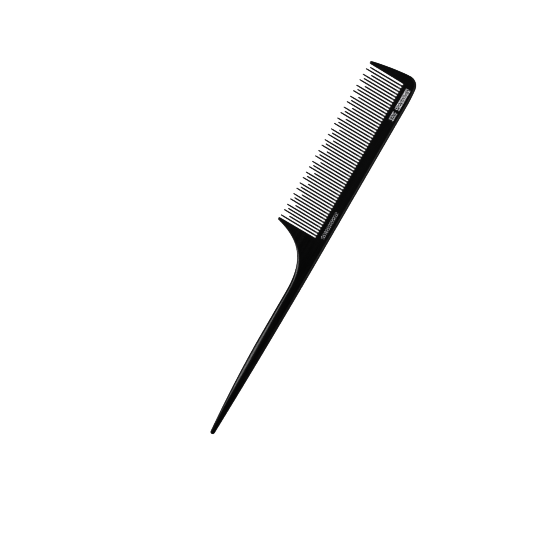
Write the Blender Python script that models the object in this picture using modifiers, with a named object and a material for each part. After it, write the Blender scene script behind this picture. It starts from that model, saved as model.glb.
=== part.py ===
"""Rat tail comb: a black moulding with one row of fine teeth and a long pointed tail.

The comb is modelled as the members that it is made of: the tail, the shoulder with the heel guard,
the spine, the head end with its own guard, and each tooth. Lengths are in metres.

Comb axes: X runs along the comb from the tail's point to the head, Y from the straight back edge
towards the tooth tips, and Z through the thickness. The comb lies flat on Z = 0, and an empty
moves it so that the bounding box is centred on the origin in X and Y.
"""

import math

import bmesh
import bpy
from mathutils import Vector
from mathutils.geometry import interpolate_bezier

# Whole comb
LENGTH = 0.2250  # tail's point to the outer edge of the head
WIDTH = 0.03045  # back edge to the tip of the heel guard
THICKNESS = 0.0040  # across the flat faces of the spine and shoulder
JOIN_GAP = 0.0003  # clearance between two members that meet

# Back edge: straight along the spine, with a slight rise towards each end
TAIL_RISE = 0.00145
TAIL_RISE_FROM = 0.1120
TAIL_RISE_POWER = 1.9
HEAD_RISE = 0.00050
HEAD_RISE_FROM = 0.2090

# Tail
TAIL_END = 0.0885  # where the tail meets the shoulder
TAIL_TOP = 0.00664  # Y of the tail's upper edge where the tail is widest
TAIL_FALL = 0.0028  # how far that edge drops at the point
TAIL_FALL_FROM = 0.0600
TAIL_FALL_POWER = 1.8
TAIL_POINT_RADIUS = 0.0012
TAIL_POINT_THICKNESS = 0.0022

# Shoulder: the concave sweep from the tail up to the heel guard
HEEL_FACE = 0.1218  # foot of the guard's face beside the teeth
HEEL_FACE_LEAN = 0.0001
HEEL_TIP_WIDTH = 0.00145
SWEEP_START_HANDLE = 0.0187
SWEEP_END_HANDLE = Vector((0.00415, 0.0166))

# Head end
HEAD_FACE = 0.21933
HEAD_FACE_LEAN = 0.00044
HEAD_TIP_Y = 0.0298
HEAD_TIP_WIDTH = 0.0016
HEAD_WIDEST_Y = 0.0063  # where the outer edge is furthest from the tail
HEAD_TIP_HANDLE = Vector((0.0019, -0.00775))
HEAD_SIDE_HANDLE = 0.0042
HEAD_CORNER_HANDLE = 0.00155
HEAD_BACK_HANDLE = Vector((0.00466, 0.00045))

# Guards thin towards their tips beyond this Y
FLAT_DEPTH = 0.0120
GUARD_TIP_THICKNESS = 0.0020
GUARD_CORNER = 0.00040

# Spine depth, which is where the gaps between the teeth end
DEPTH_AT_HEEL = 0.00725
DEPTH_AT_HEAD = 0.00775

# Teeth, counted from the heel: long, short, long, medium, and so on
TOOTH_COUNT = 56
FIRST_TOOTH = 0.12303
FIRST_PITCH = 0.001697
PITCH_GROWTH = 0.00000101  # each pitch is this much more than the one before
TOOTH_TIPS = {"long": 0.03020, "medium": 0.02850, "short": 0.02585}
TOOTH_ORDER = ("long", "short", "long", "medium")
TIP_LINE_DROP = 0.00015  # the line of tips comes this much nearer the back along the row
TOOTH_ROOT_WIDTH = 0.00079
TOOTH_TIP_WIDTH = 0.00072
TOOTH_ROOT_THICKNESS = 0.0034
TOOTH_TIP_THICKNESS = 0.0014
LEAN_AT_HEEL = math.radians(1.0)  # towards the head
LEAN_AT_HEAD = math.radians(0.65)

# Edge rounding and facet counts
EDGE_ROUND = 0.0009
GUARD_ROUND_SHARE = 0.25  # of the edge round, at the guard tips
LEAST_ROUND_FROM = 0.0220  # Y beyond which a guard's edge round is that small
INNER_ROUND_SHARE = 0.25  # of the edge round, on the guard faces beside the teeth
TOOTH_TIP_ROUND = 0.00030
TOOTH_SIDE_ROUND_SHARE = 0.4
ROUND_SEGMENTS = 3
TOOTH_ROUND_SEGMENTS = 2
EDGE_STATIONS = 12
SWEEP_STATIONS = 14
HEAD_STATIONS = 9
CORNER_STEPS = 3
POINT_STEPS = 8
FLAT_NORMAL = 0.5  # a face whose normal has more Z than this lies across the thickness
ON_PLANE = 1e-6
NEAR_FACE = 1e-4
WELD = 1e-6
SMOOTH_UNDER = math.radians(40)

# Finishes, as (grey, roughness): the tail is the most polished
TAIL_FINISH = (0.010, 0.20)
SHOULDER_FINISH = (0.012, 0.24)
SPINE_FINISH = (0.013, 0.26)
TOOTH_FINISH = (0.012, 0.24)


def clear_scene():
    for item in list(bpy.data.objects):
        bpy.data.objects.remove(item)


def new_collection(name):
    collection = bpy.data.collections.new(name)
    bpy.context.scene.collection.children.link(collection)
    return collection


def plastic(name, finish):
    """Black moulded plastic, as one Principled shader."""
    grey, roughness = finish
    material = bpy.data.materials.new(name)
    material.use_nodes = True
    shader = material.node_tree.nodes["Principled BSDF"]
    shader.inputs["Base Color"].default_value = (grey, grey, grey, 1.0)
    shader.inputs["Roughness"].default_value = roughness
    shader.inputs["Metallic"].default_value = 0.0
    return material


# Outlines, in comb axes


def back_edge(x):
    """Y of the back edge at x."""
    if x < TAIL_RISE_FROM:
        return TAIL_RISE * (1 - x / TAIL_RISE_FROM) ** TAIL_RISE_POWER
    if x > HEAD_RISE_FROM:
        return HEAD_RISE * ((x - HEAD_RISE_FROM) / (HEAD_FACE - HEAD_RISE_FROM)) ** 2
    return 0.0


def tail_top(x):
    """Y of the tail's upper edge at x."""
    if x >= TAIL_FALL_FROM:
        return TAIL_TOP
    return TAIL_TOP - TAIL_FALL * (1 - x / TAIL_FALL_FROM) ** TAIL_FALL_POWER


def spine_depth(x):
    """Y where the teeth start at x."""
    along = (x - HEEL_FACE) / (HEAD_FACE - HEEL_FACE)
    return DEPTH_AT_HEEL + along * (DEPTH_AT_HEAD - DEPTH_AT_HEEL)


def edge_points(edge, start, end, count):
    """Points along an edge given as a function of x, both ends included."""
    return [
        Vector((start + (end - start) * i / count, edge(start + (end - start) * i / count)))
        for i in range(count + 1)
    ]


def rounded(before, corner, after, radius):
    """Points of the arc that replaces a corner between two straight edges."""
    to_before = (before - corner).normalized()
    to_after = (after - corner).normalized()
    half = to_before.angle(to_after) / 2
    reach = radius / math.tan(half)
    start = corner + to_before * reach
    end = corner + to_after * reach
    centre = corner + (to_before + to_after).normalized() * (radius / math.sin(half))
    points = []
    for i in range(CORNER_STEPS + 1):
        towards = start.lerp(end, i / CORNER_STEPS) - centre
        points.append(centre + towards.normalized() * radius)
    return points


def tail_outline():
    start = TAIL_POINT_RADIUS
    low, high = back_edge(start), tail_top(start)
    middle, half = (low + high) / 2, (high - low) / 2
    bottom = edge_points(back_edge, start, TAIL_END, EDGE_STATIONS)
    top = edge_points(tail_top, TAIL_END, start, EDGE_STATIONS)
    point = []
    for i in range(1, POINT_STEPS):
        turn = math.pi / 2 + math.pi * i / POINT_STEPS
        point.append(Vector((start + start * math.cos(turn), middle + half * math.sin(turn))))
    return bottom + top + point


def shoulder_outline():
    start = TAIL_END + JOIN_GAP
    bottom = edge_points(back_edge, start, TAIL_RISE_FROM, EDGE_STATIONS // 2)
    corner = Vector((HEEL_FACE, 0))
    root = Vector((HEEL_FACE, spine_depth(HEEL_FACE)))
    tip_inner = Vector((HEEL_FACE + HEEL_FACE_LEAN, WIDTH))
    tip_outer = tip_inner - Vector((HEEL_TIP_WIDTH, 0))
    sweep_end = tip_outer - Vector((0, GUARD_CORNER))
    sweep = interpolate_bezier(
        sweep_end,
        sweep_end - SWEEP_END_HANDLE,
        Vector((start + SWEEP_START_HANDLE, TAIL_TOP)),
        Vector((start, TAIL_TOP)),
        SWEEP_STATIONS,
    )
    inner = rounded(root, tip_inner, tip_outer, GUARD_CORNER)
    outer = rounded(tip_inner, tip_outer, tip_outer - SWEEP_END_HANDLE, GUARD_CORNER)
    return bottom + [corner, root] + inner + outer + [Vector(p) for p in sweep[1:]]


def spine_outline():
    start = HEEL_FACE + JOIN_GAP
    end = HEAD_FACE - JOIN_GAP
    bottom = edge_points(back_edge, start, HEAD_RISE_FROM, 1)
    rise = edge_points(back_edge, HEAD_RISE_FROM, end, EDGE_STATIONS // 2)
    top = [Vector((end, spine_depth(end))), Vector((start, spine_depth(start)))]
    return bottom + rise[1:] + top


def head_outline():
    back = Vector((HEAD_FACE, back_edge(HEAD_FACE)))
    widest = Vector((LENGTH, HEAD_WIDEST_Y))
    tip_inner = Vector((HEAD_FACE + HEAD_FACE_LEAN, HEAD_TIP_Y))
    tip_outer = tip_inner + Vector((HEAD_TIP_WIDTH, 0))
    corner = interpolate_bezier(
        back,
        back + HEAD_BACK_HANDLE,
        widest - Vector((0, HEAD_CORNER_HANDLE)),
        widest,
        HEAD_STATIONS,
    )
    side = interpolate_bezier(
        widest,
        widest + Vector((0, HEAD_SIDE_HANDLE)),
        tip_outer + HEAD_TIP_HANDLE,
        tip_outer,
        HEAD_STATIONS,
    )
    root = Vector((HEAD_FACE, spine_depth(HEAD_FACE)))
    outer = rounded(tip_outer + HEAD_TIP_HANDLE, tip_outer, tip_inner, GUARD_CORNER)
    inner = rounded(tip_outer, tip_inner, root, GUARD_CORNER)
    return [Vector(p) for p in corner[:-1] + side[:-1]] + outer + inner + [root]


# Solids


def outline_mesh(name, outline):
    """A flat outline as a filled 2D curve, extruded to the comb's thickness and made a mesh."""
    curve = bpy.data.curves.new(name + "_outline", "CURVE")
    curve.dimensions = "2D"
    curve.fill_mode = "BOTH"
    curve.extrude = THICKNESS / 2
    spline = curve.splines.new("POLY")
    spline.points.add(len(outline) - 1)
    for point, place in zip(spline.points, outline):
        point.co = (place.x, place.y, 0.0, 1.0)
    spline.use_cyclic_u = True
    carrier = bpy.data.objects.new(name + "_outline", curve)
    bpy.context.scene.collection.objects.link(carrier)
    bpy.context.view_layer.update()
    graph = bpy.context.evaluated_depsgraph_get()
    mesh = bpy.data.meshes.new_from_object(carrier.evaluated_get(graph))
    mesh.name = name
    bpy.data.objects.remove(carrier)
    bpy.data.curves.remove(curve)
    return mesh


def is_flat(face):
    """True for the two faces across the thickness, and False around the rim."""
    return abs(face.normal.z) > FLAT_NORMAL


def merge_flats(shape):
    """Welds the caps and joins the triangles of each one into a single face."""
    bmesh.ops.remove_doubles(shape, verts=shape.verts[:], dist=WELD)
    bmesh.ops.recalc_face_normals(shape, faces=shape.faces[:])
    inner = [edge for edge in shape.edges if all(is_flat(face) for face in edge.link_faces)]
    bmesh.ops.dissolve_edges(shape, edges=inner, use_verts=False)


def thin(shape, share_at):
    """Scales the thickness about the middle plane by share_at(x, y)."""
    for vertex in shape.verts:
        vertex.co.z *= share_at(vertex.co.x, vertex.co.y)


def crease_at_flat_depth(shape):
    """Adds the line across the faces where a guard starts to thin."""
    bmesh.ops.bisect_plane(
        shape,
        geom=shape.verts[:] + shape.edges[:] + shape.faces[:],
        plane_co=(0, FLAT_DEPTH, 0),
        plane_no=(0, 1, 0),
    )


def full_share(_x, _y):
    """The spine keeps its full thickness."""
    return 1.0


def guard_share(_x, y):
    """Share of the full thickness that a guard has at y."""
    if y <= FLAT_DEPTH:
        return 1.0
    along = (y - FLAT_DEPTH) / (WIDTH - FLAT_DEPTH)
    return 1 + along * (GUARD_TIP_THICKNESS / THICKNESS - 1)


def tail_share(x, _y):
    """Share of the full thickness that the tail has at x."""
    point = TAIL_POINT_THICKNESS / THICKNESS
    return point + (1 - point) * x / TAIL_END


def round_share(x, y, inner_face):
    """Share of the edge round that a rim edge takes at (x, y)."""
    if inner_face is not None and abs(x - inner_face(y)) < NEAR_FACE:
        return INNER_ROUND_SHARE
    if y <= FLAT_DEPTH:
        return 1.0
    along = min(1.0, (y - FLAT_DEPTH) / (LEAST_ROUND_FROM - FLAT_DEPTH))
    return 1 + along * (GUARD_ROUND_SHARE - 1)


def weigh_rims(shape, joints, inner_face=None, square_side=None):
    """Gives each edge between a flat face and the rim its share of the edge round.

    Edges in a joint's plane stay sharp, and so do those that square_side picks.
    """
    weights = shape.edges.layers.float.new("bevel_weight_edge")
    for edge in shape.edges:
        if [is_flat(face) for face in edge.link_faces].count(True) != 1:
            continue
        middle = (edge.verts[0].co + edge.verts[1].co) / 2
        in_joint = any(abs(middle.x - x) < ON_PLANE for x in joints)
        if in_joint and middle.y < spine_depth(middle.x):
            continue
        if square_side and square_side(middle):
            continue
        edge[weights] = round_share(middle.x, middle.y, inner_face)


def finish(mesh, name, material, collection, width, segments):
    """Places a mesh as a named object with its rounded edges and material."""
    mesh.materials.clear()
    mesh.materials.append(material)
    mesh.shade_smooth()
    mesh.set_sharp_from_angle(angle=SMOOTH_UNDER)
    item = bpy.data.objects.new(name, mesh)
    collection.objects.link(item)
    bevel = item.modifiers.new("edge_round", "BEVEL")
    bevel.limit_method = "WEIGHT"
    bevel.width = width
    bevel.segments = segments
    bevel.use_clamp_overlap = False
    return item


def plate(name, outline, share_at, joints, material, collection, **rims):
    """A member cut from flat stock: outline, thickness taper and rounded rims."""
    mesh = outline_mesh(name, outline)
    shape = bmesh.new()
    shape.from_mesh(mesh)
    merge_flats(shape)
    if share_at is guard_share:
        crease_at_flat_depth(shape)
    thin(shape, share_at)
    shape.normal_update()
    weigh_rims(shape, joints, **rims)
    shape.to_mesh(mesh)
    shape.free()
    return finish(mesh, name, material, collection, EDGE_ROUND, ROUND_SEGMENTS)


def tail(collection):
    material = plastic("tail_black", TAIL_FINISH)
    return plate("tail", tail_outline(), tail_share, [TAIL_END], material, collection)


def heel_face(y):
    """X of the heel guard's face beside the teeth at y."""
    root = spine_depth(HEEL_FACE)
    return HEEL_FACE + HEEL_FACE_LEAN * max(0.0, y - root) / (WIDTH - root)


def shoulder(collection):
    material = plastic("shoulder_black", SHOULDER_FINISH)
    joints = [TAIL_END + JOIN_GAP, HEEL_FACE]
    return plate(
        "shoulder",
        shoulder_outline(),
        guard_share,
        joints,
        material,
        collection,
        inner_face=heel_face,
    )


def spine(collection):
    material = plastic("spine_black", SPINE_FINISH)
    joints = [HEEL_FACE + JOIN_GAP, HEAD_FACE - JOIN_GAP]
    return plate(
        "spine",
        spine_outline(),
        full_share,
        joints,
        material,
        collection,
        square_side=lambda middle: middle.y > DEPTH_AT_HEEL / 2,
    )


def head_face(y):
    """X of the head guard's face beside the teeth at y."""
    root = spine_depth(HEAD_FACE)
    return HEAD_FACE + HEAD_FACE_LEAN * max(0.0, y - root) / (HEAD_TIP_Y - root)


def head_end(collection):
    material = plastic("head_black", SPINE_FINISH)
    return plate(
        "head_end",
        head_outline(),
        guard_share,
        [HEAD_FACE],
        material,
        collection,
        inner_face=head_face,
    )


def tooth_mesh(name, length):
    """A tapered bar along Y from its root at the origin, with its edges weighed for rounding."""
    shape = bmesh.new()
    bmesh.ops.create_cube(shape, size=1.0)
    for vertex in shape.verts:
        at_tip = vertex.co.y > 0
        width = TOOTH_TIP_WIDTH if at_tip else TOOTH_ROOT_WIDTH
        thickness = TOOTH_TIP_THICKNESS if at_tip else TOOTH_ROOT_THICKNESS
        vertex.co.x *= width
        vertex.co.y = length if at_tip else 0.0
        vertex.co.z *= thickness
    weights = shape.edges.layers.float.new("bevel_weight_edge")
    for edge in shape.edges:
        ends = [vertex.co.y for vertex in edge.verts]
        if min(ends) > 0:
            edge[weights] = 1.0
        elif max(ends) > 0:
            edge[weights] = TOOTH_SIDE_ROUND_SHARE
    mesh = bpy.data.meshes.new(name)
    shape.to_mesh(mesh)
    shape.free()
    return mesh


def teeth(collection):
    """The row of teeth from the heel to the head, each standing a join gap off the spine."""
    material = plastic("tooth_black", TOOTH_FINISH)
    row = []
    for i in range(TOOTH_COUNT):
        along = i / (TOOTH_COUNT - 1)
        x = FIRST_TOOTH + i * FIRST_PITCH + i * (i - 1) / 2 * PITCH_GROWTH
        root = spine_depth(x) + JOIN_GAP
        tip = TOOTH_TIPS[TOOTH_ORDER[i % len(TOOTH_ORDER)]] - TIP_LINE_DROP * along
        name = f"tooth_{i + 1:02d}"
        mesh = tooth_mesh(name, tip - root)
        tooth = finish(mesh, name, material, collection, TOOTH_TIP_ROUND, TOOTH_ROUND_SEGMENTS)
        tooth.location = (x, root, 0.0)
        tooth.rotation_euler.z = -(LEAN_AT_HEEL + along * (LEAN_AT_HEAD - LEAN_AT_HEEL))
        row.append(tooth)
    return row


def build():
    clear_scene()
    collection = new_collection("rat_tail_comb")
    members = [tail(collection), shoulder(collection), spine(collection), head_end(collection)]
    members += teeth(collection)
    middle = bpy.data.objects.new("comb_axes", None)
    middle.location = (-LENGTH / 2, -WIDTH / 2, THICKNESS / 2)
    collection.objects.link(middle)
    for member in members:
        member.parent = middle


build()
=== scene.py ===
"""The looks of the rat tail comb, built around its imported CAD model.

The real comb is one moulding, so one continuous mesh stands for all the CAD members: its outline
runs round the tail, the guards and every tooth, and its rim is rounded the way each stretch of the
comb is. Two printed ornaments lie on the spine. Comb axes are used throughout: X from the tail's
point to the head, Y from the back edge to the tooth tips, Z from the middle plane. Lengths are in
metres.
"""

import math
from collections import namedtuple

import bmesh
import bpy
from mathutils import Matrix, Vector, kdtree
from mathutils.geometry import delaunay_2d_cdt, interpolate_bezier


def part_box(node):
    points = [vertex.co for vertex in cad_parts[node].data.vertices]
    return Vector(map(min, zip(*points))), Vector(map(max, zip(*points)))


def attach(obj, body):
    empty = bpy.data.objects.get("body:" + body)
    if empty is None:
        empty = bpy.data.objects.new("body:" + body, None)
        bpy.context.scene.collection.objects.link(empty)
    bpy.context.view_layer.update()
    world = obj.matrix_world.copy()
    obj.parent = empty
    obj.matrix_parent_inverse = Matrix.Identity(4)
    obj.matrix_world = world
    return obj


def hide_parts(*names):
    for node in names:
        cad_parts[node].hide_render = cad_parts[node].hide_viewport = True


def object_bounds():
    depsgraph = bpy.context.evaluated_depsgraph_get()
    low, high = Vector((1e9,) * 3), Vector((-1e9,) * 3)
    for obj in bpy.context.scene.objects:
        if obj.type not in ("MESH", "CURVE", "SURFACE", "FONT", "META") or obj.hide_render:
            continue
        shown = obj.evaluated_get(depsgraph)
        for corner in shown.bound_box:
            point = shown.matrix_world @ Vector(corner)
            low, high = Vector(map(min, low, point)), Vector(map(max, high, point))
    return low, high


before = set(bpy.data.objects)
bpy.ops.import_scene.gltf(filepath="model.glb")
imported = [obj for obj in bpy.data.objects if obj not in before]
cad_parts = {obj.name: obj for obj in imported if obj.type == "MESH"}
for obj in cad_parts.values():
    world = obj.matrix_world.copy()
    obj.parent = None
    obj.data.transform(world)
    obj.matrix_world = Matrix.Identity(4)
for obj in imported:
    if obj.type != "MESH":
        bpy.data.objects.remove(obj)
CAD_LOW, CAD_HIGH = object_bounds()
AXES_ORIGIN = Vector((CAD_LOW.x, CAD_LOW.y, (CAD_LOW.z + CAD_HIGH.z) / 2))


def comb_box(node):
    """Lowest and highest corner of a CAD node, in comb axes."""
    low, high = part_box(node)
    return low - AXES_ORIGIN, high - AXES_ORIGIN


# Main lengths, from the frame
TOOTH_NODES = sorted(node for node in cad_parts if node.startswith("tooth_"))
LENGTH = CAD_HIGH.x - CAD_LOW.x
WIDTH = CAD_HIGH.y - CAD_LOW.y
HALF = comb_box("spine")[1].z
TAIL_END = comb_box("tail")[1].x
HEEL_TIP_X = comb_box("shoulder")[1].x
HEAD_FACE = comb_box("head_end")[0].x
HEAD_TIP_Y = comb_box("head_end")[1].y
JOIN_GAP = HEAD_FACE - comb_box("spine")[1].x  # what the CAD members leave between them
HEEL_FACE = comb_box("spine")[0].x - JOIN_GAP

# Outline of the tail and the back edge
TAIL_RISE = 0.00145
TAIL_RISE_FROM = 0.1120
TAIL_RISE_POWER = 1.9
HEAD_RISE = 0.00050
HEAD_RISE_FROM = 0.2090
TAIL_TOP = 0.00664
TAIL_FALL = 0.0028
TAIL_FALL_FROM = 0.0600
TAIL_FALL_POWER = 1.8
POINT_LENGTH = 0.0012  # of the round end at the tail's point

# Outline of the shoulder's sweep and of the head end, whose curves are Bezier curves
SWEEP_START_HANDLE = 0.0187
SWEEP_END_HANDLE = Vector((0.00415, 0.0166))
HEEL_TIP_WIDTH = 0.00145
HEAD_FACE_LEAN = 0.00044
HEAD_TIP_WIDTH = 0.0016
HEAD_WIDEST_Y = 0.0063
HEAD_TIP_HANDLE = Vector((0.0019, -0.00775))
HEAD_SIDE_HANDLE = 0.0042
HEAD_CORNER_HANDLE = 0.00155
HEAD_BACK_HANDLE = Vector((0.00466, 0.00045))
GUARD_CORNER = 0.00045  # radius of the corners of both guards' tips

# Half thicknesses
POINT_HALF = 0.0011
GUARD_TIP_HALF = 0.0010
GUARD_THINS_FROM = 0.0120  # Y where the guards start to thin towards their tips
TOOTH_ROOT_HALF = 0.0017
TOOTH_TIP_HALF = 0.0007
TOOTH_BLEND = 0.0009  # how fast a tooth leaves the spine's thickness

# Teeth
TOOTH_ROOT_WIDTH = 0.00079
TOOTH_TIP_WIDTH = 0.00072
GULLET_CLEARANCE = 1.3  # where a tooth's own outline starts, in gullet radii above its root

# Rounding of the rim: reach is how far it goes in from the outline, drop how far it goes down
POINT_REACH = 0.00045
CROWN_REACH = 0.0026
CROWN_AT = 0.0480  # X where the tail is most crowned
NECK_REACH = 0.0016
SWEEP_REACH = 0.0020
SWEEP_DROP = 0.00065
SWEEP_BROAD_Y = 0.0085  # Y where the sweep's rim is broadest
SWEEP_ROUND_TO = 0.0200  # Y where it is down to the guard's
TAIL_DROP_SHARE = 0.66  # of the half thickness
BACK_REACH = 0.0016
BACK_DROP = 0.0012
GUARD_REACH = 0.00036
GUARD_DROP = 0.0005
HEAD_ROUND_TO = 0.0235  # Y where the head's outer round is down to its guard's
TOOTH_REACH = 0.00030
TOOTH_ROOT_DROP = 0.0008
TOOTH_TIP_DROP = 0.0005
GULLET_DROP = 0.00040
GULLET_BLEND = 3 * TOOTH_BLEND  # how far up a tooth the gullet's drop fades out
PARTING_RIDGE = 0.00002  # how far the mould's parting line stands out
PARTING_HALF = 0.00009  # half its height
PARTING_WEAR = 0.2  # its wear, where 1 is that of the rim's middle

# Sampling
BACK_STATIONS = 96
SWEEP_STATIONS = 40
HEAD_STATIONS = 22
POINT_STEPS = 20
CORNER_STEPS = 8
GULLET_STEPS = 10
TIP_STEPS = 10
SIDE_SHARES = (0.03, 0.08, 0.16, 0.30, 0.50, 0.72, 0.90)  # where the points of a tooth's side lie
GUARD_STATIONS = 10
ROUND_STEPS = 9
FACE_GRID = 0.0016  # spacing of the points that fill a face
FACE_MARGIN = 0.0007  # how far they keep from its edge
FILL_INSIDE = 1  # the triangulation's mode that keeps only what is inside the outline
FILL_PRECISION = 1e-6  # in the triangulation's millimetres
MERGE_DISTANCE = 1e-6
MM = 1000.0

# A station of the outline: where it is, half the thickness there, and how its rim is rounded
Rim = namedtuple("Rim", "x y half reach drop")


def ease(share):
    """Smooth step from 0 to 1, held outside that range."""
    share = min(1.0, max(0.0, share))
    return share * share * (3 - 2 * share)


def mix(a, b, share):
    """The value a share of the way from a to b."""
    return a + (b - a) * share


# Outline functions


def back_edge(x):
    """Y of the back edge at x."""
    if x < TAIL_RISE_FROM:
        return TAIL_RISE * (1 - x / TAIL_RISE_FROM) ** TAIL_RISE_POWER
    if x > HEAD_RISE_FROM:
        return HEAD_RISE * ((x - HEAD_RISE_FROM) / (HEAD_FACE - HEAD_RISE_FROM)) ** 2
    return 0.0


def tail_top(x):
    """Y of the tail's upper edge at x."""
    if x >= TAIL_FALL_FROM:
        return TAIL_TOP
    return TAIL_TOP - TAIL_FALL * (1 - x / TAIL_FALL_FROM) ** TAIL_FALL_POWER


def half_at(x, y):
    """Half the comb's thickness at (x, y), away from the teeth."""
    if x < TAIL_END:
        return mix(POINT_HALF, HALF, x / TAIL_END)
    along = max(0.0, (y - GUARD_THINS_FROM) / (WIDTH - GUARD_THINS_FROM))
    return mix(HALF, GUARD_TIP_HALF, along)


def tail_reach(x):
    """Tight at the point, broadest where the tail is most crowned, tighter again at the neck."""
    if x < CROWN_AT:
        return mix(POINT_REACH, CROWN_REACH, ease(x / CROWN_AT))
    return mix(CROWN_REACH, NECK_REACH, ease((x - CROWN_AT) / (TAIL_END - CROWN_AT)))


def tail_drop(x, y):
    """The drop of the tail's rim."""
    return TAIL_DROP_SHARE * half_at(x, y)


def back_rim(x):
    """The rim on the back edge: a broad crown on the tail, tighter along the spine."""
    y = back_edge(x)
    share = ease((x - TAIL_END) / (HEEL_FACE - TAIL_END))
    reach = mix(tail_reach(min(x, TAIL_END)), BACK_REACH, share)
    return Rim(x, y, half_at(x, y), reach, mix(tail_drop(x, y), BACK_DROP, share))


def tail_rim(x, y):
    """The rim on the tail's upper edge."""
    return Rim(x, y, half_at(x, y), tail_reach(x), tail_drop(x, y))


def head_rim(x, y):
    """The rim on the head's outer side, tightening from its widest place to its guard's tip."""
    share = ease((y - HEAD_WIDEST_Y) / (HEAD_ROUND_TO - HEAD_WIDEST_Y))
    reach = mix(BACK_REACH, GUARD_REACH, share)
    return Rim(x, y, half_at(x, y), reach, mix(BACK_DROP, GUARD_DROP, share))


def sweep_rim(x, y):
    """The rim on the sweep: broad and shallow above the tail's neck, then tightening to the guard."""
    if y < SWEEP_BROAD_Y:
        share = ease((y - TAIL_TOP) / (SWEEP_BROAD_Y - TAIL_TOP))
        reach = mix(NECK_REACH, SWEEP_REACH, share)
        return Rim(x, y, half_at(x, y), reach, mix(tail_drop(TAIL_END, y), SWEEP_DROP, share))
    left = max(0.0, (SWEEP_ROUND_TO - y) / (SWEEP_ROUND_TO - SWEEP_BROAD_Y))
    reach = mix(GUARD_REACH, SWEEP_REACH, left * left)
    return Rim(x, y, half_at(x, y), reach, mix(GUARD_DROP, SWEEP_DROP, left * left))


def inner_rim(x, y):
    """The rim on a guard's face beside the teeth."""
    return Rim(x, y, half_at(x, y), GUARD_REACH, GUARD_DROP)


def rounded(before, corner, after, radius):
    """Points of the arc that replaces a corner between two straight edges."""
    to_before = (before - corner).normalized()
    to_after = (after - corner).normalized()
    half = to_before.angle(to_after) / 2
    centre = corner + (to_before + to_after).normalized() * (radius / math.sin(half))
    reach = radius / math.tan(half)
    first = (corner + to_before * reach - centre).normalized()
    last = (corner + to_after * reach - centre).normalized()
    return [centre + first.slerp(last, i / CORNER_STEPS) * radius for i in range(CORNER_STEPS + 1)]


# The outline, anticlockwise, as rim stations


def back_and_head():
    """The back edge, the head's corner and the outer side of its guard."""
    xs = [mix(POINT_LENGTH, HEAD_FACE, i / BACK_STATIONS) for i in range(BACK_STATIONS)]
    rims = [back_rim(x) for x in xs]
    back = Vector((HEAD_FACE, back_edge(HEAD_FACE)))
    widest = Vector((LENGTH, HEAD_WIDEST_Y))
    below = widest - Vector((0, HEAD_CORNER_HANDLE))
    above = widest + Vector((0, HEAD_SIDE_HANDLE))
    tip_inner = Vector((HEAD_FACE + HEAD_FACE_LEAN, HEAD_TIP_Y))
    tip_outer = tip_inner + Vector((HEAD_TIP_WIDTH, 0))
    shoulder = tip_outer + HEAD_TIP_HANDLE
    stop = tip_outer + HEAD_TIP_HANDLE.normalized() * GUARD_CORNER
    corner = interpolate_bezier(back, back + HEAD_BACK_HANDLE, below, widest, HEAD_STATIONS)
    side = interpolate_bezier(widest, above, shoulder, stop, HEAD_STATIONS)
    points = [Vector(p) for p in corner[:-1] + side[:-1]]
    points += rounded(shoulder, tip_outer, tip_inner, GUARD_CORNER)
    rims += [head_rim(p.x, p.y) for p in points]
    root = Vector((HEAD_FACE, 0))
    rims += [inner_rim(p.x, p.y) for p in rounded(tip_outer, tip_inner, root, GUARD_CORNER)]
    return rims


class Tooth:
    """A tooth's axis and widths, from its CAD node's box."""

    def __init__(self, node):
        low, high = comb_box(node)
        self.root = Vector((low.x + TOOTH_ROOT_WIDTH / 2, low.y - JOIN_GAP))
        self.tip = Vector((high.x - TOOTH_TIP_WIDTH / 2, high.y))
        self.axis = (self.tip - self.root).normalized()
        self.length = (self.tip - self.root).length
        self.across = Vector((self.axis.y, -self.axis.x))

    def half_width(self, share):
        return mix(TOOTH_ROOT_WIDTH, TOOTH_TIP_WIDTH, share) / 2

    def side_point(self, share, side):
        """A point on the side towards the head (side 1) or the heel (side -1)."""
        middle = self.root + self.axis * (self.length * share)
        return middle + self.across * (side * self.half_width(share))

    def rim(self, point):
        """The rim at a point of the outline: thick at the root, thin at the tip."""
        along = (point - self.root).dot(self.axis)
        share = min(1.0, max(0.0, along / self.length))
        taper = mix(TOOTH_ROOT_HALF, TOOTH_TIP_HALF, share)
        half = taper + (HALF - TOOTH_ROOT_HALF) * math.exp(-max(0.0, along) / TOOTH_BLEND)
        drop = mix(TOOTH_ROOT_DROP, TOOTH_TIP_DROP, share)
        drop = mix(GULLET_DROP, drop, ease(along / GULLET_BLEND))
        return Rim(point.x, point.y, half, TOOTH_REACH, drop)

    def outline(self, start):
        """Up the head side, round the tip and down the heel side, from start above the root."""
        foot = start / self.length
        tip_radius = self.half_width(1)
        shares = [foot + share * (1 - foot) for share in SIDE_SHARES]
        up = [self.side_point(share, 1) for share in shares]
        centre = self.tip - self.axis * tip_radius
        arc = []
        for i in range(TIP_STEPS + 1):
            turn = math.pi * i / TIP_STEPS
            outwards = self.across * math.cos(turn) + self.axis * math.sin(turn)
            arc.append(centre + outwards * tip_radius)
        down = [self.side_point(share, -1) for share in reversed(shares)]
        return [self.rim(point) for point in up + arc + down]


def gullet(head_side, heel_side, bottom):
    """The round end of the gap between two sides, from the head side down to bottom and up again."""
    middle = (head_side + heel_side) / 2
    across = (head_side - heel_side) / 2
    depth = middle.y - bottom
    points = []
    for i in range(GULLET_STEPS + 1):
        turn = math.pi * i / GULLET_STEPS
        points.append(middle + across * math.cos(turn) - Vector((0, depth * math.sin(turn))))
    return [Rim(p.x, p.y, HALF, TOOTH_REACH, GULLET_DROP) for p in points]


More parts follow.
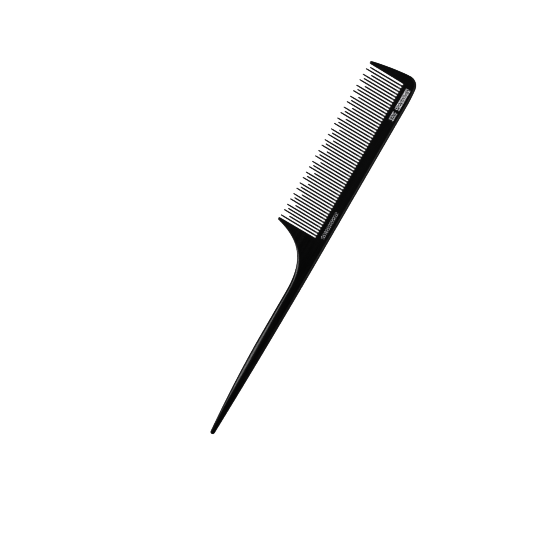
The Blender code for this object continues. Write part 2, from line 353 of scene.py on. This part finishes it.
def row():
    """From the head guard's inner face, round every gullet and tooth, to the heel guard's tip."""
    teeth = [Tooth(node) for node in reversed(TOOTH_NODES)]
    radius = (teeth[0].root.x - teeth[1].root.x - TOOTH_ROOT_WIDTH) / 2
    face_top = HEAD_TIP_Y - 2 * GUARD_CORNER
    face_foot = teeth[0].root.y + radius
    rims = []
    for i in range(GUARD_STATIONS):
        y = mix(face_top, face_foot, i / GUARD_STATIONS)
        lean = HEAD_FACE_LEAN * (y - face_foot) / (HEAD_TIP_Y - face_foot)
        rims.append(inner_rim(HEAD_FACE + lean, y))
    head_side = Vector((HEAD_FACE, face_foot))
    for tooth in teeth:
        foot = radius / tooth.length
        rims += gullet(head_side, tooth.side_point(foot, 1), tooth.root.y)
        rims += tooth.outline(radius * GULLET_CLEARANCE)
        head_side = tooth.side_point(foot, -1)
    heel_foot = Vector((HEEL_FACE, head_side.y))
    rims += gullet(head_side, heel_foot, teeth[-1].root.y)
    for i in range(1, GUARD_STATIONS + 1):
        y = mix(heel_foot.y, WIDTH - 2 * GUARD_CORNER, i / GUARD_STATIONS)
        rims.append(inner_rim(mix(HEEL_FACE, HEEL_TIP_X, i / GUARD_STATIONS), y))
    return rims


def heel_and_tail():
    """The heel guard's tip, the sweep down to the tail, the tail's upper edge and its point."""
    start = Vector((TAIL_END, TAIL_TOP))
    tip_inner = Vector((HEEL_TIP_X, WIDTH))
    tip_outer = tip_inner - Vector((HEEL_TIP_WIDTH, 0))
    inner = rounded(Vector((HEEL_TIP_X, 0)), tip_inner, tip_outer, GUARD_CORNER)
    outer = rounded(tip_inner, tip_outer, tip_outer - SWEEP_END_HANDLE, GUARD_CORNER)
    stop = outer[-1]
    sweep = interpolate_bezier(
        stop,
        stop - SWEEP_END_HANDLE,
        start + Vector((SWEEP_START_HANDLE, 0)),
        start,
        SWEEP_STATIONS,
    )
    points = outer[:-1] + [Vector(p) for p in sweep[:-1]]
    rims = [inner_rim(p.x, p.y) for p in inner] + [sweep_rim(p.x, p.y) for p in points]
    for i in range(SWEEP_STATIONS + 1):
        x = mix(TAIL_END, POINT_LENGTH, i / SWEEP_STATIONS)
        rims.append(tail_rim(x, tail_top(x)))
    return rims + point_of_tail()


def point_of_tail():
    """Half an ellipse round the tail's point."""
    low, high = back_edge(POINT_LENGTH), tail_top(POINT_LENGTH)
    middle, half = (low + high) / 2, (high - low) / 2
    rims = []
    for i in range(1, POINT_STEPS):
        turn = math.pi / 2 + math.pi * i / POINT_STEPS
        x = POINT_LENGTH * (1 + math.cos(turn))
        y = middle + half * math.sin(turn)
        rims.append(tail_rim(POINT_LENGTH, y)._replace(x=x))
    return rims


# The moulding


def inward_normals(rims):
    """Unit vectors into the material at each rim station."""
    normals = []
    for i, _ in enumerate(rims):
        before, after = rims[i - 1], rims[(i + 1) % len(rims)]
        along = Vector((after.x - before.x, after.y - before.y)).normalized()
        normals.append(Vector((-along.y, along.x)))
    return normals


def rim_rings(rims):
    """Rings of points from the middle plane up the rim to the face, each with its wear."""
    normals = inward_normals(rims)

    def ring(inset_of, height_of, wear):
        places = []
        for rim, normal in zip(rims, normals):
            inset = inset_of(rim)
            x, y = rim.x + normal.x * inset, rim.y + normal.y * inset
            places.append(Vector((x, y, height_of(rim))))
        return places, wear

    rings = [
        ring(lambda rim: -PARTING_RIDGE, lambda rim: 0.0, PARTING_WEAR),
        ring(lambda rim: 0.0, lambda rim: PARTING_HALF, PARTING_WEAR),
    ]
    for step in range(ROUND_STEPS + 1):
        turn = math.pi / 2 * step / ROUND_STEPS
        inset = 1 - math.cos(turn)
        height = 1 - math.sin(turn)
        rings.append(
            ring(
                lambda rim, inset=inset: rim.reach * inset,
                lambda rim, height=height: rim.half - rim.drop * height,
                math.sin(2 * turn),
            )
        )
    return rings


def edge_samples(ring):
    """Points along the ring's edges, no further apart than the face's margin."""
    samples = []
    for i, place in enumerate(ring):
        before = ring[i - 1]
        steps = math.ceil((place - before).length / FACE_MARGIN)
        samples += [before.lerp(place, step / steps) for step in range(steps)]
    return samples


def face_points(ring):
    """Grid points inside the face, clear of its edge ring."""
    samples = edge_samples(ring)
    tree = kdtree.KDTree(len(samples))
    for i, place in enumerate(samples):
        tree.insert((place.x, place.y, 0.0), i)
    tree.balance()
    points = []
    for i in range(int(LENGTH / FACE_GRID)):
        for j in range(int(WIDTH / FACE_GRID)):
            point = Vector((i * FACE_GRID, j * FACE_GRID, 0.0))
            if tree.find(point)[2] > FACE_MARGIN:
                points.append(point)
    return points


def add_face(shape, ring_verts, wear):
    """Fills the innermost ring with small triangles that follow the comb's thickness."""
    ring = [vertex.co for vertex in ring_verts]
    inner = face_points(ring)
    flat = [(place.x * MM, place.y * MM) for place in ring + inner]
    loop = list(range(len(ring)))
    edges = [(i, (i + 1) % len(ring)) for i in loop]
    filled = delaunay_2d_cdt(flat, edges, [loop], FILL_INSIDE, FILL_PRECISION)
    made, _, faces, origins, _, _ = filled
    verts = {}

    def vertex_for(i):
        source = next((k for k in origins[i] if k < len(ring)), None)
        if source is not None:
            return ring_verts[source]
        if i not in verts:
            x, y = made[i].x / MM, made[i].y / MM
            verts[i] = shape.verts.new((x, y, half_at(x, y)))
            verts[i][wear] = 0.0
        return verts[i]

    for face in faces:
        shape.faces.new([vertex_for(i) for i in face])


def moulding_mesh():
    """The upper half of the comb, open at the middle plane, with wear as an attribute."""
    rims = back_and_head() + row() + heel_and_tail()
    shape = bmesh.new()
    wear = shape.verts.layers.float.new("wear")
    rows = []
    for places, worn in rim_rings(rims):
        verts = [shape.verts.new(place) for place in places]
        for vertex in verts:
            vertex[wear] = worn
        rows.append(verts)
    count = len(rims)
    for lower, upper in zip(rows, rows[1:]):
        for i in range(count):
            k = (i + 1) % count
            shape.faces.new((lower[i], lower[k], upper[k], upper[i]))
    add_face(shape, rows[-1], wear)
    bmesh.ops.recalc_face_normals(shape, faces=shape.faces[:])
    mesh = bpy.data.meshes.new("comb_moulding")
    shape.to_mesh(mesh)
    shape.free()
    mesh.shade_smooth()
    return mesh


def new_piece(name, mesh, material):
    """A piece in comb axes that rides on the comb's one body."""
    piece = bpy.data.objects.new(name, mesh)
    bpy.context.scene.collection.objects.link(piece)
    piece.location = AXES_ORIGIN
    mesh.materials.append(material)
    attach(piece, "root")
    return piece


def moulding():
    """The whole comb: the upper half and its mirror image, in place of every CAD node."""
    piece = new_piece("comb_moulding", moulding_mesh(), black_plastic())
    mirror = piece.modifiers.new("other_half", "MIRROR")
    mirror.use_axis = (False, False, True)
    mirror.merge_threshold = MERGE_DISTANCE
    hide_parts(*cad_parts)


# Printed ornaments: plaits of three or five strands, in place of any lettering. Each strand is a
# wave along the spine. It is hidden for an angle of gap to each side of the angles in unders,
# where it passes under another strand.

INK_HEIGHT = 0.00002  # how far the ink stands on the spine's face
INK_DEPTH = 0.00003  # its thickness, which reaches a little into the plastic
STRAND_STEP = 0.0001  # spacing of the points along a strand

Plait = namedtuple("Plait", "start length middle height period stroke strands unders gap")

HEEL_PLAIT = Plait(
    start=0.1232,
    length=0.0166,
    middle=0.00380,
    height=0.0021,
    period=0.0044,
    stroke=0.00026,
    strands=3,
    unders=(150, 330),
    gap=13,
)
HEAD_SHORT_PLAIT = Plait(
    start=0.1985,
    length=0.0050,
    middle=0.00387,
    height=0.0030,
    period=0.0050,
    stroke=0.00036,
    strands=5,
    unders=(18, 126, 198, 306),
    gap=11,
)
HEAD_LONG_PLAIT = HEAD_SHORT_PLAIT._replace(start=0.2050, length=0.0130, period=0.0052)


def strand_shown(plait, angle):
    """False where the strand passes under another one."""
    return all(abs((angle - under + 180) % 360 - 180) > plait.gap for under in plait.unders)


def strand_pieces(plait, strand):
    """Lists of centre points and directions, one list for each stretch of strand that shows."""
    amplitude = (plait.height - plait.stroke) / 2
    stretches, current = [], []
    steps = int(plait.length / STRAND_STEP)
    for i in range(steps + 1):
        along = plait.length * i / steps
        angle = 360 * (along / plait.period + strand / plait.strands)
        turn = math.radians(angle)
        if not strand_shown(plait, angle):
            if len(current) > 1:
                stretches.append(current)
            current = []
            continue
        place = Vector((plait.start + along, plait.middle + amplitude * math.sin(turn)))
        slope = amplitude * math.cos(turn) * 2 * math.pi / plait.period
        current.append((place, Vector((-slope, 1)).normalized()))
    if len(current) > 1:
        stretches.append(current)
    return stretches


def add_ribbon(shape, stretch, stroke):
    """A flat ribbon of the stroke's width along a stretch."""
    pairs = []
    for place, across in stretch:
        left = place + across * stroke / 2
        right = place - across * stroke / 2
        pairs.append((shape.verts.new((*left, HALF)), shape.verts.new((*right, HALF))))
    for (left, right), (next_left, next_right) in zip(pairs, pairs[1:]):
        shape.faces.new((left, right, next_right, next_left))


def ornament(name, plaits, material):
    """Thin raised ink in the shape of the plaits."""
    shape = bmesh.new()
    for plait in plaits:
        for strand in range(plait.strands):
            for stretch in strand_pieces(plait, strand):
                add_ribbon(shape, stretch, plait.stroke)
    for vertex in shape.verts:
        vertex.co.z += INK_HEIGHT
    bmesh.ops.recalc_face_normals(shape, faces=shape.faces[:])
    mesh = bpy.data.meshes.new(name)
    shape.to_mesh(mesh)
    shape.free()
    piece = new_piece(name, mesh, material)
    body = piece.modifiers.new("ink_depth", "SOLIDIFY")
    body.thickness = INK_DEPTH
    body.offset = -1


# Materials. Scales are in features per metre, bump depths in metres.

NOISE_LOW = 0.35  # nearly all of a noise lies between these
NOISE_HIGH = 0.65

PLASTIC_TONE = (0.0024, 0.0024, 0.0026, 1.0)
RUBBED_TONE = (0.0065, 0.0065, 0.0068, 1.0)
PLASTIC_IOR = 1.50
PLASTIC_ROUGHNESS = (0.15, 0.23)
RUBBED_ROUGHNESS = 0.09  # added where the edges are rubbed most
PATCH_SCALE = 420
WAVE_SCALE = 160
WAVE_DEPTH = 0.000006
SCRATCH_SCALE = 900
SCRATCH_SQUASH = (0.06, 1.0, 1.0)  # long along the comb
SCRATCH_DEPTH = 0.0000010
GRAIN_SCALE = 3500
GRAIN_DEPTH = 0.0000005

INK_THIN_TONE = (0.22, 0.22, 0.225, 1.0)
INK_FULL_TONE = (0.36, 0.36, 0.365, 1.0)
INK_METALLIC = 0.35
INK_ROUGHNESS = (0.34, 0.52)
COVER_SCALE = 1500
FLAKE_SCALE = 9000
FLAKE_DEPTH = 0.000001


def node(tree, kind, **values):
    """A new node with its properties and input values set."""
    made = tree.nodes.new(kind)
    for name, value in values.items():
        if hasattr(made, name):
            setattr(made, name, value)
        else:
            made.inputs[name.replace("_", " ")].default_value = value
    return made


def new_material(name):
    """A material, its node tree and its shader."""
    material = bpy.data.materials.new(name)
    material.use_nodes = True
    tree = material.node_tree
    return material, tree, tree.nodes["Principled BSDF"]


def noise(tree, scale, detail, squash=(1, 1, 1)):
    """Noise at a scale, squashed along the comb's axes."""
    place = node(tree, "ShaderNodeTexCoord")
    mapping = node(tree, "ShaderNodeMapping", Scale=squash)
    made = node(tree, "ShaderNodeTexNoise", Scale=scale, Detail=detail)
    tree.links.new(place.outputs["Object"], mapping.inputs["Vector"])
    tree.links.new(mapping.outputs["Vector"], made.inputs["Vector"])
    return made.outputs["Fac"]


def spread(tree, source, low, high, from_low=NOISE_LOW, from_high=NOISE_HIGH):
    """Maps a noise, or another source with its own range, to the range from low to high."""
    made = node(tree, "ShaderNodeMapRange")
    made.inputs["From Min"].default_value = from_low
    made.inputs["From Max"].default_value = from_high
    made.inputs["To Min"].default_value = low
    made.inputs["To Max"].default_value = high
    tree.links.new(source, made.inputs["Value"])
    return made.outputs["Result"]


def combine(tree, operation, a, b):
    """The sum or product of two values."""
    made = node(tree, "ShaderNodeMath", operation=operation)
    tree.links.new(a, made.inputs[0])
    tree.links.new(b, made.inputs[1])
    return made.outputs["Value"]


def bump(tree, height, depth, before=None):
    """A bump of a depth, on top of another one if given."""
    made = node(tree, "ShaderNodeBump", Strength=1.0, Distance=depth)
    tree.links.new(height, made.inputs["Height"])
    if before is not None:
        tree.links.new(before, made.inputs["Normal"])
    return made.outputs["Normal"]


def tone_ramp(tree, shader, factor, low, high):
    """Sets the base colour between two tones."""
    ramp = node(tree, "ShaderNodeMix", data_type="RGBA")
    ramp.inputs["A"].default_value = low
    ramp.inputs["B"].default_value = high
    tree.links.new(factor, ramp.inputs["Factor"])
    tree.links.new(ramp.outputs["Result"], shader.inputs["Base Color"])


def black_plastic():
    """Polished black plastic: slight waves, hairline scratches, a faint grain and rubbed edges."""
    material, tree, shader = new_material("black_plastic")
    shader.inputs["IOR"].default_value = PLASTIC_IOR
    grain = noise(tree, GRAIN_SCALE, 3)
    waves = noise(tree, WAVE_SCALE, 2)
    scratches = noise(tree, SCRATCH_SCALE, 4, SCRATCH_SQUASH)
    patches = noise(tree, PATCH_SCALE, 3)
    wear = node(tree, "ShaderNodeAttribute", attribute_name="wear").outputs["Fac"]
    rubbed = combine(tree, "MULTIPLY", wear, spread(tree, patches, 0.0, 1.0))
    tone_ramp(tree, shader, rubbed, PLASTIC_TONE, RUBBED_TONE)
    smooth = spread(tree, scratches, *PLASTIC_ROUGHNESS)
    worn = spread(tree, rubbed, 0.0, RUBBED_ROUGHNESS, 0.0, 1.0)
    tree.links.new(combine(tree, "ADD", smooth, worn), shader.inputs["Roughness"])
    relief = bump(tree, waves, WAVE_DEPTH)
    relief = bump(tree, scratches, SCRATCH_DEPTH, relief)
    relief = bump(tree, grain, GRAIN_DEPTH, relief)
    tree.links.new(relief, shader.inputs["Normal"])
    return material


def silver_ink():
    """Silver printing ink: metal flakes in a grey binder, of uneven cover."""
    material, tree, shader = new_material("silver_ink")
    shader.inputs["Metallic"].default_value = INK_METALLIC
    flakes = noise(tree, FLAKE_SCALE, 2)
    cover = noise(tree, COVER_SCALE, 3)
    tone_ramp(tree, shader, spread(tree, cover, 0.0, 1.0), INK_THIN_TONE, INK_FULL_TONE)
    tree.links.new(spread(tree, flakes, *INK_ROUGHNESS), shader.inputs["Roughness"])
    tree.links.new(bump(tree, flakes, FLAKE_DEPTH), shader.inputs["Normal"])
    return material


# Studio

FLOOR_SIZE = 12.0
FLOOR_GLOW = 0.90
FLOOR_TONE = (0.08, 0.08, 0.08, 1.0)
FLOOR_ROUGHNESS = 0.9
FLOOR_SPECULAR = 0.1
WALL_GLOW = 1.20
WALL_TONES = ((0.05, 0.25), (0.35, 0.80), (0.80, 0.375))  # rise of the direction, share of the glow

# The view's tones: the curve gives a tone before and after, and is that of all three colours
PRINT_GAMMA = 0.455
PRINT_CURVE = ((0.05, 0.045), (0.18, 0.12), (0.50, 0.51), (0.80, 0.91))
COMBINED_CURVE = 3

# Camera: the width of its frame and the frame's centre on the comb's middle plane, in comb axes
LENS = 900.0
SENSOR = 36.0
FRAME_WIDTH = 0.2930
FRAME_CENTRE = Vector((0.09478, 0.02267, 0.0))
ROLL = math.radians(-59.91)
VIEW_DEPTH = 50.0

# Softboxes and cards: the point on the back edge's line that they face (its x in comb axes), their
# azimuth from the comb's length, elevation and distance from it, their length and height, and how
# bright their face is
Softbox = namedtuple("Softbox", "aim azimuth elevation distance length height glow")

SOFTBOXES = {
    "key": Softbox(0.100, 105, 57, 1.40, 1.45, 0.94, 11.0),
    "edge_fill": Softbox(0.190, -90, 45, 0.45, 0.24, 0.30, 7.0),
    "top_card": Softbox(0.255, 90, 90, 0.40, 0.26, 0.30, 0.6),
    "neck_card": Softbox(0.080, 135, 24, 0.70, 0.24, 0.24, 1.8),
    "corner_card": Softbox(0.120, -45, 17, 0.70, 0.34, 0.22, 0.5),
    "head_card": Softbox(0.225, -42, 44, 0.60, 0.50, 0.26, 5.0),
}


def floor():
    """A wide white sheet lit from below, as on a light table."""
    shape = bmesh.new()
    bmesh.ops.create_grid(shape, x_segments=2, y_segments=2, size=FLOOR_SIZE / 2)
    mesh = bpy.data.meshes.new("floor")
    shape.to_mesh(mesh)
    shape.free()
    sheet = bpy.data.objects.new("floor", mesh)
    bpy.context.scene.collection.objects.link(sheet)
    sheet.location.z = CAD_LOW.z
    material, _, shader = new_material("floor_sheet")
    shader.inputs["Base Color"].default_value = FLOOR_TONE
    shader.inputs["Roughness"].default_value = FLOOR_ROUGHNESS
    shader.inputs["Specular IOR Level"].default_value = FLOOR_SPECULAR
    shader.inputs["Emission Color"].default_value = (1, 1, 1, 1)
    shader.inputs["Emission Strength"].default_value = FLOOR_GLOW
    mesh.materials.append(material)


def studio_air():
    """Grey walls: dark at the horizon, brightest a third of the way up and dimmer overhead."""
    world = bpy.data.worlds.new("studio")
    world.use_nodes = True
    tree = world.node_tree
    background = tree.nodes["Background"]
    place = node(tree, "ShaderNodeTexCoord")
    height = node(tree, "ShaderNodeSeparateXYZ")
    tree.links.new(place.outputs["Generated"], height.inputs["Vector"])
    tones = node(tree, "ShaderNodeValToRGB")
    steps = tones.color_ramp.elements
    for step, (rise, share) in zip((steps[0], steps.new(0.5), steps[-1]), WALL_TONES):
        step.position = rise
        step.color = (share, share, share, 1.0)
    tree.links.new(height.outputs["Z"], tones.inputs["Fac"])
    tree.links.new(tones.outputs["Color"], background.inputs["Color"])
    background.inputs["Strength"].default_value = WALL_GLOW
    bpy.context.scene.world = world


def softbox(name, box):
    """A rectangular light that the camera doesn't see, its length level and facing its aim."""
    light = bpy.data.lights.new(name, "AREA")
    light.shape = "RECTANGLE"
    light.size, light.size_y = box.length, box.height
    light.energy = box.glow * math.pi * box.length * box.height
    lamp = bpy.data.objects.new(name, light)
    bpy.context.scene.collection.objects.link(lamp)
    azimuth, elevation = math.radians(box.azimuth), math.radians(box.elevation)
    towards = Vector(
        (
            math.cos(azimuth) * math.cos(elevation),
            math.sin(azimuth) * math.cos(elevation),
            math.sin(elevation),
        )
    )
    lamp.location = AXES_ORIGIN + Vector((box.aim, 0, 0)) + towards * box.distance
    lamp.rotation_euler = (math.pi / 2 - elevation, 0, azimuth + math.pi / 2)
    lamp.visible_camera = False


def lights():
    """All the softboxes and cards."""
    for name, box in SOFTBOXES.items():
        softbox(name, box)


def camera():
    """Looks straight down on the comb, with the tail's point low in the frame."""
    data = bpy.data.cameras.new("camera")
    data.lens = LENS
    data.sensor_width = SENSOR
    data.clip_end = VIEW_DEPTH
    item = bpy.data.objects.new("camera", data)
    bpy.context.scene.collection.objects.link(item)
    distance = FRAME_WIDTH * LENS / SENSOR
    item.location = AXES_ORIGIN + FRAME_CENTRE + Vector((0, 0, distance))
    item.rotation_euler = (0, 0, ROLL)
    bpy.context.scene.camera = item


def print_tones():
    """The steep tones of a catalogue print: crisp whites and full blacks."""
    view = bpy.context.scene.view_settings
    view.view_transform = "Standard"
    view.gamma = PRINT_GAMMA
    view.use_curve_mapping = True
    curve = view.curve_mapping.curves[COMBINED_CURVE]
    for before, after in PRINT_CURVE:
        curve.points.new(before, after)
    view.curve_mapping.update()


camera()
floor()
studio_air()
lights()
moulding()
ink = silver_ink()
ornament("heel_ornament", (HEEL_PLAIT,), ink)
ornament("head_ornament", (HEAD_SHORT_PLAIT, HEAD_LONG_PLAIT), ink)
print_tones()
